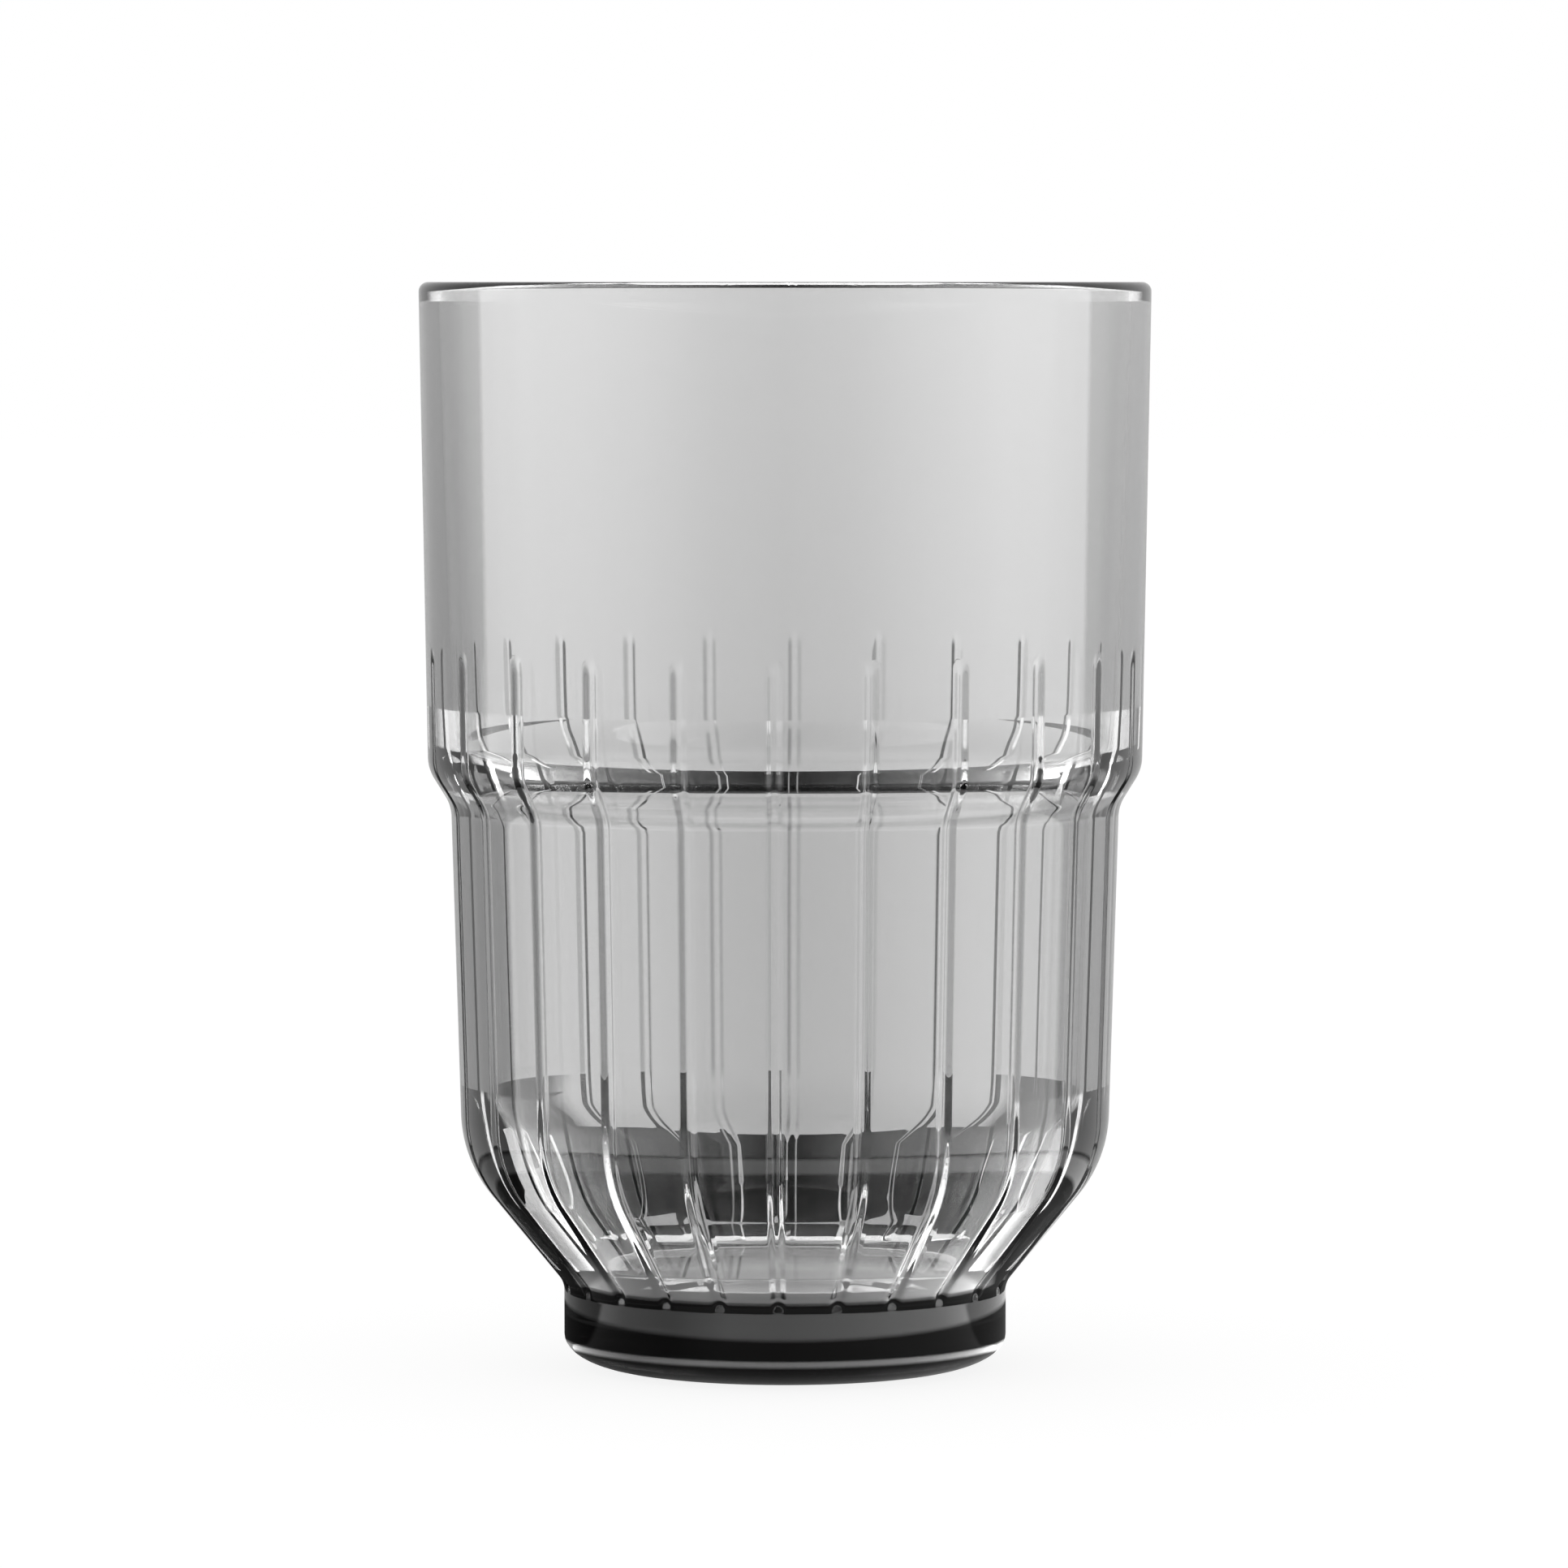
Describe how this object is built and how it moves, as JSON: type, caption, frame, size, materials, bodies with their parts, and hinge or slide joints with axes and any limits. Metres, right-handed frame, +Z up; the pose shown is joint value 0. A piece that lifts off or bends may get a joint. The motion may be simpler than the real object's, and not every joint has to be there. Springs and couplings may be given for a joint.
{
  "type": "stacking tumbler",
  "caption": "Stacking tumbler in smoke-grey pressed glass: smooth drinking band, stepped waist, upright grooves, round shoulder and a thick solid foot.",
  "frame": {"origin": "middle of the foot's resting ring, on the table", "axes": "+Z up along the glass's axis, out of the mouth; +X and +Y alike, with the pictured side facing -Y"},
  "size_m": [0.0848, 0.0848, 0.126],
  "materials": {
    "smoke_glass": "clear polished soda-lime glass, tinted neutral smoke grey in the mass"
  },
  "bodies": {
    "root": {"tumbler": "smoke_glass"}
  },
  "joints": []
}
